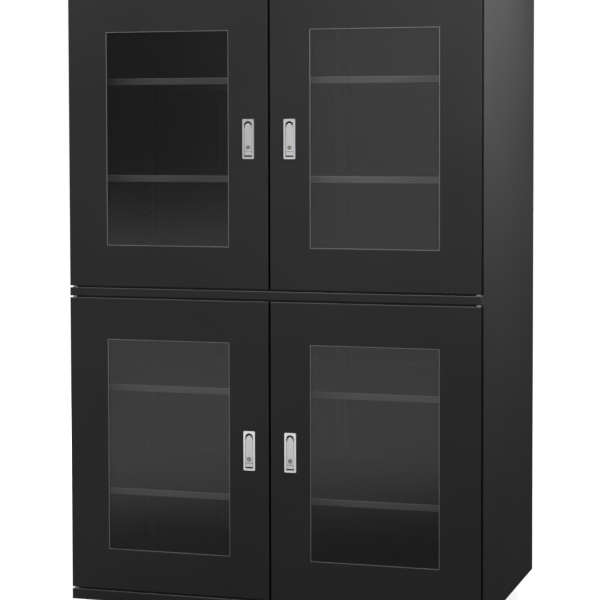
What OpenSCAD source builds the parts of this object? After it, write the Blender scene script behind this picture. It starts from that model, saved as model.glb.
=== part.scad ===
// Electronic dry cabinet: folded steel body, four glazed doors, flush locks, shelves and swivel casters.
// Millimetres. The origin is the centre of the footprint on the floor, the front faces -Y and +Z is up.

/* [Overall] */
// Width over the side panels
overall_w = 1200; // [1100:10:1300]
// Depth from the lock plates to the rear edges
overall_d = 710; // [650:10:760]
// Height from the floor to the top
overall_h = 1910; // [1840:10:1990]

/* [Body] */
// Thickness of the folded body sheet
sheet_t = 1.5; // [1.2:0.1:2]
// Width of the front flange of each side panel
flange_w = 30; // [26:1:34]
// Depth of the folded returns behind the front frame
return_d = 15; // [12:1:18]
// Width of the rear flange of each side panel
rear_flange_w = 20; // [14:1:30]
// Height of the header above the upper doors
header_h = 89; // [80:1:110]
// Height of the rail between the doors
mid_rail_h = 24; // [20:1:30]
// Height of the rail below the doors
bottom_rail_h = 30; // [22:1:36]
// Height of the electronics bay under the top
bay_h = 80; // [66:1:95]
// How far the front frame reaches in behind a door's edge
frame_lap = 30; // [28:1:34]
// Width of the post behind the meeting doors
post_w = 60; // [56:1:64]

/* [Doors] */
// Thickness of a door
door_t = 25; // [23:0.5:30]
// Thickness of the door skins
skin_t = 1.5; // [1:0.1:2]
// Gap above and below each door
door_gap = 4.5; // [3.5:0.5:6]
// Gap between the two doors of a pair
meet_gap = 5; // [4:0.5:7]
// Stand-off of the doors from the body, taken up by the seal
seal_gap = 6.5; // [6:0.5:9]
// Width of the stiles beside a window
stile_w = 115.5; // [108:0.5:140]
// Height of the steel above and below a window
window_rail_h = 116; // [90:1:150]
// Thickness of the window glass
glass_t = 5; // [4:0.5:6]
// How far the glass reaches behind the window's edge
glass_lap = 12; // [8:1:16]

/* [Hinges] */
// Radius of the pivot pins
pin_r = 4; // [3:0.25:5]
// Distance of a pin from the door's outer edge
pin_inset = 12; // [11:0.5:13]
// Depth of a pin in the door and in the rail
pin_reach = 12; // [8:1:16]
// Running clearance round pins, axles and spindles
bore_clear = 0.05; // [0.03:0.01:0.08]

/* [Locks] */
// Width of a lock's face plate
lock_w = 33.5; // [31:0.5:36]
// Height of a lock's face plate
lock_h = 110; // [106:1:120]
// How far a lock stands out of the door
lock_proud = 1.5; // [1:0.1:2]
// Distance of a lock's centre from the door's meeting edge
lock_inset = 57.5; // [54:0.5:60]
// Width of the lever
lever_w = 21.5; // [19:0.5:22]
// Height of the button under the lever
button_h = 10.5; // [9:0.5:14]
// Travel of the button
button_travel = 2.5; // [1.5:0.25:3]
// Radius of the key cylinder
key_r = 5.85; // [4.5:0.05:6.5]
// Reach of the cam from its spindle
cam_reach = 40; // [36:1:41]

/* [Shelves] */
// Pitch of the slots in the uprights
slot_pitch = 25; // [20:5:30]
// Height of a shelf's front lip
lip_h = 18; // [15:1:24]
// Thickness of the shelf sheet
shelf_t = 1.2; // [1:0.1:2]
// Set-back of the shelves from the front of the doors
shelf_setback = 70; // [66:1:110]
// Width of the uprights on the side walls
upright_w = 50; // [40:1:60]
// Depth of the uprights on the side walls
upright_d = 12; // [10:0.5:16]
// Distance of the side uprights' centres from the front frame and the back
upright_inset = 156; // [110:2:190]

/* [Dry unit] */
// Width of the drying unit on the back wall
dry_w = 440; // [360:10:520]
// Height of the drying unit
dry_h = 150; // [140:5:170]
// Depth of the drying unit
dry_d = 88; // [70:2:110]

/* [Casters] */
// Height of a caster under the body
caster_h = 85; // [83:1:95]
// Radius of a wheel
wheel_r = 31.5; // [28:0.5:32]
// Width of a wheel
wheel_w = 24; // [20:1:28]
// Trail of the wheel behind its swivel
caster_trail = 26; // [23:1:28]
// Distance of a caster's swivel from the body's edges
caster_inset = 100; // [90:5:120]

/* [Hidden] */
cut_over = 1;
bend_r = 2.5;

// Planes and lines of the body
half_w = overall_w / 2;
front_y = -overall_d / 2 + lock_proud;
body_y = front_y + door_t + seal_gap;
back_y = overall_d / 2;
base_z = caster_h;
body_h = overall_h - caster_h;
top_z = overall_h;
inner_w = overall_w - 2 * sheet_t;
back_in_y = back_y - 2 * sheet_t;
fold_clear = 0.5;
back_edge_x = inner_w / 2 - (bend_r - sheet_t) - fold_clear;
wall_top_z = top_z - sheet_t;
ceiling_z = top_z - bay_h;

// Doors: two levels of equal height between the rails
door_w = (overall_w - meet_gap) / 2;
door_h = (body_h - bottom_rail_h - mid_rail_h - header_h - 4 * door_gap) / 2;
lower_z = base_z + bottom_rail_h + door_gap;
mid_rail_z = lower_z + door_h + door_gap;
upper_z = mid_rail_z + mid_rail_h + door_gap;
header_z = top_z - header_h;
door_x = meet_gap / 2;
window_w = door_w - 2 * stile_w;
window_h = door_h - 2 * window_rail_h;
glass_clear = 1;
tunnel_w = window_w + 2 * (glass_lap + glass_clear);
tunnel_h = window_h + 2 * (glass_lap + glass_clear);
gasket_back = 3;
gasket_w = glass_lap + glass_clear - gasket_back;
gasket_d = 9;
seat_gap = 0.3;
seal_inset = 14.5;
seal_w = 12;
seal_waist_w = 5;
seal_lip_w = 9;
seal_base_t = 1.8;
seal_lip_t = 2;
rail_reach = 9;
bush_w = 22;
bush_cap = 3;
bush_h = pin_reach + bush_cap;
pin_x = half_w - pin_inset;
pin_y = front_y + door_t / 2;
collar_w = 3;
collar_r = pin_r + collar_w;
collar_t = door_gap - seat_gap;

// Openings of the front frame, one behind each door
opening_w = half_w - flange_w - post_w / 2;
opening_h = door_h - 2 * frame_lap;
floor_z = lower_z + frame_lap;
floor_y = body_y + return_d;
floor_skirt = 34;
pan_h = 18;

// Lock: the lever's pivot is the centre of its round end
lock_y = front_y - lock_proud;
lock_x = door_x + lock_inset;
lock_plate_lap = 3;
lock_body_w = lock_w - 2 * lock_plate_lap;
lock_body_h = lock_h - 2 * lock_plate_lap;
lock_body_d = 17;
lock_corner_r = 3;
lock_rim = 6;
lever_t = 7;
lever_r = lever_w / 2;
lever_gap = 0.75;
lever_neck_r = 6;
lever_shoulder = 6.5;
lever_pin_r = 1.5;
lever_pin_reach = 1.5;
lever_pin_x = lever_r + lever_gap + lever_pin_reach;
pocket_r = lever_r + lever_gap;
pocket_d = 8.5;
turret_d = 12.5;
lever_dz = lock_h / 2 - lock_rim - pocket_r;
button_gap = 0.6;
button_back_gap = 0.5;
button_t = pocket_d - button_travel - button_back_gap;
button_foot_gap = 3.5;
button_z0 = -lock_h / 2 + lock_rim + button_foot_gap;
lever_foot_z = button_z0 + button_h + button_gap;
key_foot = 4.5;
key_dz = lever_foot_z + key_r + key_foot;
key_slot_w = 1.2;
key_slot_h = 7;
key_slot_d = 3;
spindle_r = 5;
spindle_clear = 2;
spindle_hole_r = spindle_r + spindle_clear;
cam_t = 3;
cam_w = 15;
cam_gap = 0.8;
cam_y = body_y + return_d + cam_gap;
nut_r = 8;
nut_t = 3;

// Shelves and what carries them
shelf_slots = [10, 22, 34, 46, 57];
slot_drop = 2;
slot_datum_z = floor_z - slot_drop;
shelf_y0 = front_y + shelf_setback;
shelf_rear_gap = 8;
shelf_y1 = back_in_y - shelf_rear_gap;
notch_gap = 2;
shelf_side_gap = 3;
shelf_w = inner_w - 2 * (upright_d + shelf_side_gap);
shelf_hem = 12;
shelf_stop_h = 14;
stiffener_w = 60;
stiffener_h = 10;
stiffener_share = 0.32;
upright_t = 1.5;
post_up_w = 38;
post_up_d = 36;
post_up_y = back_in_y - post_up_d;
slot_w = 12;
slot_h = 5;
slot_margin = 24;
upright_z0 = floor_z;
upright_top_gap = 20;
upright_z1 = ceiling_z - upright_top_gap;
upright_front_y = body_y + sheet_t + upright_inset;
upright_rear_y = back_in_y - upright_inset;
splice_slots = [15, 16];
splice_h = 70;
splice_t = 1.5;
clip_w = 18;
clip_h = 20;
clip_t = 2;
clip_ledge = 9;
clip_hook = 5;
clip_hook_h = 4;

// Back panel: pressed ribs and vent slots behind the drying unit
rib_share = 0.3633;
rib_w = 20;
rib_d = 6;
vent_slot_w = 84;
vent_slot_h = 4;
vent_pitch = 12;
vent_cols = 3;
vent_rows = 9;

// Drying unit: a wall box with two louvred fields
dry_x = 110;
dry_lift = 40;
dry_z = floor_z + dry_lift;
dry_t = 1.5;
dry_chamfer = 10;
dry_flange_w = 16;
louvre_w = 118;
louvre_h = 46;
louvre_slot_w = 6;
louvre_pitch = 11;
louvre_gap_x = 34;
louvre_edge = 22;
louvre_foot = 22;
core_gap = 6;
switch_w = 14;
switch_h = 22;
switch_d = 2;
switch_dx = 48;

// Controller in the header
panel_w = 176;
panel_h = 58;
panel_r = 4;
panel_body_d = 26;
panel_body_inset = 5;
display_w = 150;
display_h = 40;
display_t = 1.2;
key_count = 4;
key_d = 7;
key_pitch = 15;
key_dome = 0.3;

// Power inlet in the back panel
inlet_w = 50;
inlet_h = 30;
inlet_body_w = 44;
inlet_body_h = 24;
inlet_d = 26;
inlet_cup_w = 28;
inlet_cup_h = 18;
inlet_cup_d = 17;
inlet_pin_w = 2;
inlet_pin_h = 5;
inlet_pin_l = 12;
inlet_pin_pitch = 7;
inlet_share = 0.75;
inlet_x = half_w * inlet_share;
inlet_z = ceiling_z + bay_h / 2;

// Casters
plate_w = 62;
plate_t = 3;
plate_hole_r = 3.2;
plate_r = 5;
king_head_t = 2.5;
plate_hole_pitch = 46;
race_r = 19;
race_h = 6.5;
king_r = 5;
crown_r = 17;
crown_t = 3.5;
fork_gap = 1;
fork_t = 3;
axle_r = 4;
leg_r = 9;
hub_r = 9;
hub_in = 0.5;
web_t = 8;
tread_t = 7;
tread_r = 4;
swivel_x = half_w - caster_inset;
swivel_front_y = body_y + caster_inset;
swivel_rear_y = back_y - caster_inset;
crown_z = caster_h - plate_t - race_h - seat_gap;
pedal_side_gap = 1;
pedal_w = wheel_w - 2 * pedal_side_gap;
pedal_pin_r = 2.5;
pedal_shares = [0.83, 0.84];
pedal_y = caster_trail + wheel_r * pedal_shares[0];
pedal_z = wheel_r + wheel_r * pedal_shares[1];
pedal_l = 26;
pedal_t = 3;
pedal_shoe_h = 11;
pedal_shoe_y = 4.8;
pedal_shoe_t = 3.2;
pedal_hub_r = 5;
pedal_rise = 12;

$fn = 48;

// A box between two opposite corners.
module block(low, high) {
    translate(low) cube(high - low);
}

// Extrudes an outline drawn in X and Z from y0 back to y1.
module plate_y(y0, y1) {
    translate([0, y1, 0]) rotate([90, 0, 0]) linear_extrude(y1 - y0) children();
}

// Extrudes an outline drawn in Y and Z from x0 to x1.
module bar_x(x0, x1) {
    translate([x0, 0, 0]) rotate([90, 0, 90]) linear_extrude(x1 - x0) children();
}

// A round rod along Y, X or Z.
module rod_y(y0, y1, r) {
    translate([0, y0, 0]) rotate([-90, 0, 0]) cylinder(r = r, h = y1 - y0);
}

module rod_x(x0, x1, r) {
    translate([x0, 0, 0]) rotate([0, 90, 0]) cylinder(r = r, h = x1 - x0);
}

module rod_z(z0, z1, r) {
    translate([0, 0, z0]) cylinder(r = r, h = z1 - z0);
}

// An outline rectangle centred on the origin, with round corners.
module rounded(w, h, r) {
    square([w - 2 * r, h], center = true);
    square([w, h - 2 * r], center = true);
    for (sx = [-1, 1]) {
        for (sy = [-1, 1]) {
            translate([sx * (w / 2 - r), sy * (h / 2 - r)]) circle(r);
        }
    }
}

// A rectangular ring centred on the origin.
module ring(w, h, band) {
    difference() {
        square([w, h], center = true);
        square([w - 2 * band, h - 2 * band], center = true);
    }
}

// A folded box's outer form: a block whose edges along X and along Z are bent round.
module folded_block(low, high, r) {
    size = high - low;
    mid = (low + high) / 2;
    intersection() {
        bar_x(low[0], high[0]) translate([mid[1], mid[2]]) rounded(size[1], size[2], r);
        translate([mid[0], mid[1], low[2]]) linear_extrude(size[2]) rounded(size[0], size[1], r);
    }
}

// Puts what is built for the right side on the side asked for.
module on_side(side) {
    if (side < 0) {
        mirror([1, 0, 0]) children();
    } else {
        children();
    }
}

// Bottom edge of the doors of a level: 0 is the lower pair, 1 the upper.
function level_z(level) = level == 0 ? lower_z : upper_z;

// Height of slot number k, on which a shelf's top lies.
function slot_z(k) = slot_datum_z + k * slot_pitch;

// A side panel: one folded sheet, with a returned front flange and a plain rear flange.
module side_panel(side) {
    depth = back_y - body_y;
    height = wall_top_z - base_z;
    color("#2b2b2d") on_side(side) translate([half_w - flange_w, body_y, base_z]) linear_extrude(height) {
        difference() {
            translate([flange_w / 2, depth / 2]) rounded(flange_w, depth, bend_r);
            translate([flange_w / 2, depth / 2]) {
                rounded(flange_w - 2 * sheet_t, depth - 2 * sheet_t, bend_r - sheet_t);
            }
            translate([-cut_over, return_d]) square([sheet_t + cut_over, depth]);
            translate([-cut_over, depth / 2]) square([flange_w - rear_flange_w + cut_over, depth]);
        }
    }
}

// The back: a sheet with pressed upright ribs, a vented field behind the drying unit and the inlet's cut-out.
module back_panel() {
    rib_x = rib_share * overall_w;
    color("#2b2b2d") difference() {
        union() {
            block([-back_edge_x, back_in_y, base_z], [back_edge_x, back_y - sheet_t, wall_top_z]);
            for (s = [-1, 1]) {
                block(
                    [s * rib_x - rib_w / 2, back_in_y - rib_d, floor_z],
                    [s * rib_x + rib_w / 2, back_in_y, ceiling_z]
                );
            }
        }
        for (s = [-1, 1]) {
            block(
                [s * rib_x - rib_w / 2 + sheet_t, back_in_y - rib_d + sheet_t, floor_z + sheet_t],
                [s * rib_x + rib_w / 2 - sheet_t, back_y, ceiling_z - sheet_t]
            );
        }
        for (col = [0 : vent_cols - 1]) {
            for (row = [0 : vent_rows - 1]) {
                slot_x = dry_x + (col - (vent_cols - 1) / 2) * (vent_slot_w + vent_pitch);
                z = dry_z + dry_h / 2 + (row - (vent_rows - 1) / 2) * vent_pitch;
                block(
                    [slot_x - vent_slot_w / 2, back_in_y - cut_over, z - vent_slot_h / 2],
                    [slot_x + vent_slot_w / 2, back_y, z + vent_slot_h / 2]
                );
            }
        }
        block(
            [inlet_x - inlet_body_w / 2, back_in_y - cut_over, inlet_z - inlet_body_h / 2],
            [inlet_x + inlet_body_w / 2, back_y, inlet_z + inlet_body_h / 2]
        );
    }
}

// Plan of the body's inside, drawn in by inset, with its front corners behind the side panels' folded lips.
module inner_plan(inset) {
    x0 = half_w - flange_w - inset;
    x1 = inner_w / 2 - inset;
    translate([-x1, floor_y + inset]) square([2 * x1, back_in_y - floor_y - 2 * inset]);
    translate([-x0, body_y + sheet_t + inset]) square([2 * x0, return_d]);
}

// The top: the outer sheet, and under it the chamber's ceiling, a tray that holds the electronics bay.
module top_box() {
    color("#303032") {
        block([-half_w, body_y, wall_top_z], [half_w, back_y, top_z]);
        difference() {
            translate([0, 0, ceiling_z]) linear_extrude(wall_top_z - ceiling_z) inner_plan(0);
            translate([0, 0, ceiling_z + sheet_t]) linear_extrude(wall_top_z - ceiling_z) inner_plan(sheet_t);
            block(
                [inlet_x - inlet_w / 2, back_in_y - sheet_t - cut_over, inlet_z - inlet_h / 2],
                [inlet_x + inlet_w / 2, back_y, inlet_z + inlet_h / 2]
            );
        }
    }
}

// The chamber's floor: an upturned tray with a skirt.
module floor_panel() {
    color("#303032") difference() {
        block([-inner_w / 2, floor_y, floor_z - floor_skirt], [inner_w / 2, back_in_y, floor_z]);
        block(
            [-inner_w / 2 + sheet_t, floor_y + sheet_t, floor_z - floor_skirt - cut_over],
            [inner_w / 2 - sheet_t, back_in_y - sheet_t, floor_z - sheet_t]
        );
    }
}

// The bottom pan, with a cross channel over each pair of casters.
module base_pan() {
    color("#2b2b2d") {
        difference() {
            translate([0, 0, base_z]) linear_extrude(pan_h) inner_plan(0);
            translate([0, 0, base_z + sheet_t]) linear_extrude(pan_h) inner_plan(sheet_t);
        }
        for (y = [swivel_front_y, swivel_rear_y]) {
            translate([0, y, 0]) difference() {
                block(
                    [sheet_t - inner_w / 2, -plate_w / 2, base_z + sheet_t],
                    [inner_w / 2 - sheet_t, plate_w / 2, base_z + pan_h]
                );
                block(
                    [-inner_w / 2, sheet_t - plate_w / 2, base_z],
                    [inner_w / 2, plate_w / 2 - sheet_t, base_z + pan_h - sheet_t]
                );
            }
        }
    }
}

// Outline of the four door openings in X and Z, larger by grow on each edge.
module opening_outlines(grow) {
    for (s = [-1, 1]) {
        for (level = [0, 1]) {
            translate([s * (post_w / 2 + opening_w / 2), level_z(level) + frame_lap + opening_h / 2]) {
                square([opening_w + 2 * grow, opening_h + 2 * grow], center = true);
            }
        }
    }
}

// The front frame: sill, centre post, cross beam and lintel, with a return round each opening.
module front_frame() {
    x1 = half_w - flange_w;
    color("#242426") difference() {
        plate_y(body_y, body_y + return_d) difference() {
            translate([-x1, base_z]) square([2 * x1, wall_top_z - base_z]);
            opening_outlines(0);
        }
        plate_y(body_y + sheet_t, body_y + return_d + cut_over) difference() {
            translate([-x1, base_z]) square([2 * x1, wall_top_z - base_z]);
            opening_outlines(sheet_t);
        }
    }
}

// A box bar that stands out as far as the doors, open at the back, with its front edges bent round.
module proud_bar(z0, z1) {
    depth = body_y - front_y;
    difference() {
        intersection() {
            folded_block([-half_w, front_y, z0], [half_w, body_y + depth, z1], bend_r);
            block([-half_w, front_y, z0], [half_w, body_y, z1]);
        }
        block(
            [-half_w + sheet_t, front_y + sheet_t, z0 + sheet_t],
            [half_w - sheet_t, body_y + cut_over, z1 - sheet_t]
        );
    }
}

// Bores for the pivot pins through the sheets between two heights.
module pin_bores(z0, z1, r) {
    for (s = [-1, 1]) {
        translate([s * pin_x, pin_y, 0]) rod_z(z0, z1, r);
    }
}

module front_rails() {
    color("#262628") difference() {
        union() {
            proud_bar(base_z, base_z + bottom_rail_h);
            proud_bar(mid_rail_z, mid_rail_z + mid_rail_h);
        }
        pin_bores(base_z + sheet_t, mid_rail_z + mid_rail_h + cut_over, pin_r);
    }
}

// The header over the upper doors, cut out for the controller.
module header() {
    color("#262628") difference() {
        proud_bar(header_z, top_z);
        translate([0, 0, header_z + header_h / 2]) plate_y(front_y - cut_over, body_y) panel_body_outline();
        pin_bores(header_z - cut_over, header_z + sheet_t + cut_over, pin_r);
    }
}

// One pivot pin with its collar: up is 1 under a door and -1 over it, and z is the door's edge.
module hinge_pin(z, up) {
    translate([0, 0, z]) mirror([0, 0, up > 0 ? 0 : 1]) {
        rod_z(-door_gap - rail_reach, pin_reach, pin_r);
        rod_z(-door_gap, -door_gap + collar_t, collar_r);
    }
}

module hinge_pins() {
    color("#b8b9bb") for (s = [-1, 1]) {
        for (level = [0, 1]) {
            translate([s * pin_x, pin_y, 0]) {
                hinge_pin(level_z(level), 1);
                hinge_pin(level_z(level) + door_h, -1);
            }
        }
    }
}

// Numbers of the slots between two heights.
function slot_range(z0, z1) = [
    for (k = [ceil((z0 - slot_datum_z) / slot_pitch) : floor((z1 - slot_datum_z) / slot_pitch)]) k
];

// Front of an upright, drawn flat and centred across: a strip with a row of slots.
module slotted_strip(w, z0, z1) {
    difference() {
        translate([-w / 2, z0]) square([w, z1 - z0]);
        for (k = slot_range(z0 + slot_margin, z1 - slot_margin)) {
            translate([-slot_w / 2, slot_z(k) - slot_h / 2]) square([slot_w, slot_h]);
        }
    }
}

// A side upright: a slotted channel whose flanges stand on the side wall.
module side_upright(y) {
    x0 = inner_w / 2 - upright_d;
    translate([0, y, 0]) {
        bar_x(x0, x0 + upright_t) slotted_strip(upright_w, upright_z0, upright_z1);
        for (s = [0, 1]) {
            translate([0, s * (upright_w - upright_t) - upright_w / 2, 0]) {
                block([x0 + upright_t, 0, upright_z0], [x0 + upright_d, upright_t, upright_z1]);
            }
        }
    }
}

// The centre upright on the back wall, with the plate that splices its two lengths.
module centre_upright() {
    z0 = dry_z + dry_h + seat_gap;
    plate_y(post_up_y, post_up_y + upright_t) slotted_strip(post_up_w, z0, upright_z1);
    for (s = [0, 1]) {
        translate([s * (post_up_w - upright_t) - post_up_w / 2, 0, 0]) {
            block([0, post_up_y + upright_t, z0], [upright_t, back_in_y, upright_z1]);
        }
    }
    plate_y(post_up_y - splice_t, post_up_y) difference() {
        splice_mid = (slot_z(splice_slots[0]) + slot_z(splice_slots[1])) / 2;
        translate([-post_up_w / 2, splice_mid - splice_h / 2]) square([post_up_w, splice_h]);
        for (k = splice_slots) {
            translate([-slot_w / 2, slot_z(k) - slot_h / 2]) square([slot_w, slot_h]);
        }
    }
}

module uprights() {
    color("#3a3a3c") {
        for (side = [-1, 1]) {
            for (y = [upright_front_y, upright_rear_y]) {
                on_side(side) side_upright(y);
            }
        }
        centre_upright();
    }
}

// Footprint of a shelf's notch round the centre upright, larger by grow.
module notch_block(z0, z1, grow) {
    block(
        [-post_up_w / 2 - notch_gap - grow, post_up_y - notch_gap - grow, z0],
        [post_up_w / 2 + notch_gap + grow, back_in_y, z1]
    );
}

// A shelf: a folded tray, its top at height z, with a hem, a rear stop, a notch and two stiffeners.
module shelf(z) {
    low = z - lip_h;
    difference() {
        union() {
            block([-shelf_w / 2, shelf_y0, low], [shelf_w / 2, shelf_y1, z]);
            block([-shelf_w / 2, shelf_y1 - shelf_t, z], [shelf_w / 2, shelf_y1, z + shelf_stop_h]);
        }
        difference() {
            block(
                [-shelf_w / 2 + shelf_t, shelf_y0 + shelf_t, low - cut_over],
                [shelf_w / 2 - shelf_t, shelf_y1 - shelf_t, z - shelf_t]
            );
            block([-shelf_w / 2, shelf_y0, low], [shelf_w / 2, shelf_y0 + shelf_hem, low + shelf_t]);
            notch_block(low - cut_over, z, shelf_t);
            for (f = [stiffener_share, 1 - stiffener_share]) {
                y = shelf_y0 + f * (shelf_y1 - shelf_y0);
                difference() {
                    block(
                        [-shelf_w / 2, y - stiffener_w / 2, z - stiffener_h],
                        [shelf_w / 2, y + stiffener_w / 2, z]
                    );
                    block(
                        [-shelf_w / 2, y - stiffener_w / 2 + shelf_t, z - stiffener_h + shelf_t],
                        [shelf_w / 2, y + stiffener_w / 2 - shelf_t, z]
                    );
                }
            }
        }
        notch_block(low - cut_over, z + shelf_stop_h + cut_over, 0);
    }
}

module shelves() {
    color("#3f3f41") for (k = shelf_slots) {
        shelf(slot_z(k));
    }
}

// A shelf clip: a plate against an upright with a ledge for the shelf and a hook in the slot below it.
// It is drawn against a face in the plane x = 0, with its ledge towards -X and the ledge's top at z = 0.
module shelf_clip() {
    hook_z = lip_h - slot_pitch;
    block([-clip_t, -clip_w / 2, -clip_h], [0, clip_w / 2, 0]);
    block([-clip_t - clip_ledge, -clip_w / 2, -clip_t], [-clip_t, clip_w / 2, 0]);
    block(
        [0, seat_gap - slot_w / 2, hook_z - clip_hook_h / 2],
        [clip_hook, slot_w / 2 - seat_gap, hook_z + clip_hook_h / 2]
    );
}

module shelf_clips() {
    color("#a9abad") for (k = shelf_slots) {
        translate([0, 0, slot_z(k) - lip_h]) {
            for (side = [-1, 1]) {
                for (y = [upright_front_y, upright_rear_y]) {
                    on_side(side) translate([inner_w / 2 - upright_d, y, 0]) shelf_clip();
                }
            }
            translate([0, post_up_y, 0]) rotate([0, 0, 90]) shelf_clip();
        }
    }
}

// The drying unit: a chamfered wall case with two louvred fields, a switch, side flanges and its drying core.
module dry_unit() {
    y0 = back_in_y - dry_d;
    x0 = dry_x - dry_w / 2;
    x1 = dry_x + dry_w / 2;
    z1 = dry_z + dry_h;
    louvre_x = [x1 - louvre_edge - 2 * louvre_w - louvre_gap_x, x1 - louvre_edge - louvre_w];
    louvre_z = dry_z + louvre_foot;
    count = floor(louvre_w / louvre_pitch);
    switch_x = x0 + switch_dx;
    front_y1 = y0 + dry_t;
    color("#333335") difference() {
        union() {
            bar_x(x0, x1) polygon([
                [back_in_y, dry_z],
                [back_in_y, z1],
                [y0 + dry_chamfer, z1],
                [y0, z1 - dry_chamfer],
                [y0, dry_z + dry_chamfer],
                [y0 + dry_chamfer, dry_z]
            ]);
            block([x0 - dry_flange_w, back_in_y - dry_t, dry_z], [x1 + dry_flange_w, back_in_y, z1]);
        }
        bar_x(x0 + dry_t, x1 - dry_t) polygon([
            [back_in_y + cut_over, dry_z + dry_t],
            [back_in_y + cut_over, z1 - dry_t],
            [y0 + dry_chamfer, z1 - dry_t],
            [y0 + dry_t, z1 - dry_chamfer],
            [y0 + dry_t, dry_z + dry_chamfer],
            [y0 + dry_chamfer, dry_z + dry_t]
        ]);
        for (x = louvre_x) {
            for (i = [0 : count - 1]) {
                slot_x = x + (i + 1 / 2) * louvre_w / count;
                block(
                    [slot_x - louvre_slot_w / 2, y0 - cut_over, louvre_z],
                    [slot_x + louvre_slot_w / 2, front_y1 + cut_over, louvre_z + louvre_h]
                );
            }
        }
        block(
            [switch_x - switch_w / 2, y0 - cut_over, louvre_z],
            [switch_x + switch_w / 2, front_y1 + cut_over, louvre_z + switch_h]
        );
    }
    color("#c9cacc") block(
        [louvre_x[0], front_y1 + core_gap, dry_z + dry_t],
        [x1 - louvre_edge, back_in_y - core_gap, z1 - dry_chamfer - core_gap]
    );
    color("#1b1b1c") translate([switch_x, y0, louvre_z + switch_h / 2]) bar_x(-switch_w / 2, switch_w / 2) polygon([
        [dry_t + switch_d, -switch_h / 2],
        [dry_t + switch_d, switch_h / 2],
        [-switch_d / 2, switch_h / 2],
        [dry_t / 2, 0],
        [dry_t / 2, -switch_h / 2]
    ]);
}

// Outline of the controller's case, which passes through the header's face.
module panel_body_outline() {
    square([panel_w - 2 * panel_body_inset, panel_h - 2 * panel_body_inset], center = true);
}

// The controller: a bezel on the header with its case behind.
module control_panel() {
    y0 = front_y - lock_proud;
    panel_z = header_z + header_h / 2;
    color("#1d1d1f") translate([0, 0, panel_z]) difference() {
        union() {
            plate_y(y0, front_y) rounded(panel_w, panel_h, panel_r);
            plate_y(front_y, front_y + panel_body_d) panel_body_outline();
        }
        plate_y(y0 - cut_over, y0 + display_t) rounded(display_w, display_h, panel_r / 2);
    }
}

// The controller's face: a clear sheet with a row of domed keys under the readout.
module display_window() {
    y0 = front_y - lock_proud;
    panel_z = header_z + header_h / 2;
    color("#0e1113") translate([0, 0, panel_z]) {
        plate_y(y0 + key_dome, y0 + display_t) rounded(display_w, display_h, panel_r / 2);
    }
    color("#5a5c60") for (i = [0 : key_count - 1]) {
        translate([display_w / 2 - key_pitch * (i + 1), 0, panel_z - display_h / 2 + key_d]) {
            rod_y(y0, y0 + key_dome, key_d / 2);
        }
    }
}

// The power inlet: a flanged cup with three flat pins.
module power_inlet() {
    y1 = back_y;
    color("#19191a") translate([inlet_x, 0, inlet_z]) {
        difference() {
            union() {
                plate_y(back_y - sheet_t, y1) rounded(inlet_w, inlet_h, panel_r);
                plate_y(y1 - inlet_d, back_y - sheet_t) square([inlet_body_w, inlet_body_h], center = true);
            }
            plate_y(y1 - inlet_cup_d, y1 + cut_over) rounded(inlet_cup_w, inlet_cup_h, bend_r);
        }
        for (i = [-1 : 1]) {
            pin_up = i == 0 ? inlet_pin_h / 2 : -inlet_pin_h / 2;
            translate([i * inlet_pin_pitch, 0, pin_up]) {
                plate_y(y1 - inlet_cup_d, y1 - inlet_cup_d + inlet_pin_l) {
                    square([inlet_pin_w, inlet_pin_h], center = true);
                }
            }
        }
    }
}

// A door's shell: two skins round a hollow, with the window's tunnel, the lock's cut-out and two pivot bushes.
module door(side, level) {
    z0 = level_z(level);
    z1 = z0 + door_h;
    y1 = front_y + door_t;
    mid_x = door_x + door_w / 2;
    mid_z = z0 + door_h / 2;
    color("#27272a") on_side(side) difference() {
        folded_block([door_x, front_y, z0], [half_w, y1, z1], bend_r);
        difference() {
            block([door_x + skin_t, front_y + skin_t, z0 + skin_t], [half_w - skin_t, y1 - skin_t, z1 - skin_t]);
            translate([mid_x, 0, mid_z]) plate_y(front_y, y1) {
                square([tunnel_w + 2 * skin_t, tunnel_h + 2 * skin_t], center = true);
            }
            for (z = [z0, z1 - bush_h]) {
                block([half_w - bush_w, front_y, z], [half_w, y1, z + bush_h]);
            }
        }
        translate([mid_x, 0, mid_z]) {
            plate_y(front_y - cut_over, y1) square([window_w, window_h], center = true);
            plate_y(front_y + skin_t, y1 + cut_over) square([tunnel_w, tunnel_h], center = true);
        }
        translate([lock_x, 0, mid_z]) {
            plate_y(front_y - cut_over, front_y + skin_t + cut_over) {
                rounded(lock_body_w, lock_body_h, lock_corner_r);
            }
            translate([0, 0, lever_dz]) rod_y(front_y, y1 + cut_over, spindle_hole_r);
        }
        translate([pin_x, pin_y, 0]) {
            rod_z(z0 - cut_over, z0 + pin_reach + seat_gap, pin_r + bore_clear);
            rod_z(z1 - pin_reach - seat_gap, z1 + cut_over, pin_r + bore_clear);
        }
    }
}

// A window pane, held against the back of the door's front skin.
module glass(side, level) {
    color([0.62, 0.68, 0.7, 0.35]) on_side(side) translate([door_x + door_w / 2, 0, level_z(level) + door_h / 2]) {
        plate_y(front_y + skin_t, front_y + skin_t + glass_t) {
            square([window_w + 2 * glass_lap, window_h + 2 * glass_lap], center = true);
        }
    }
}

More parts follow.
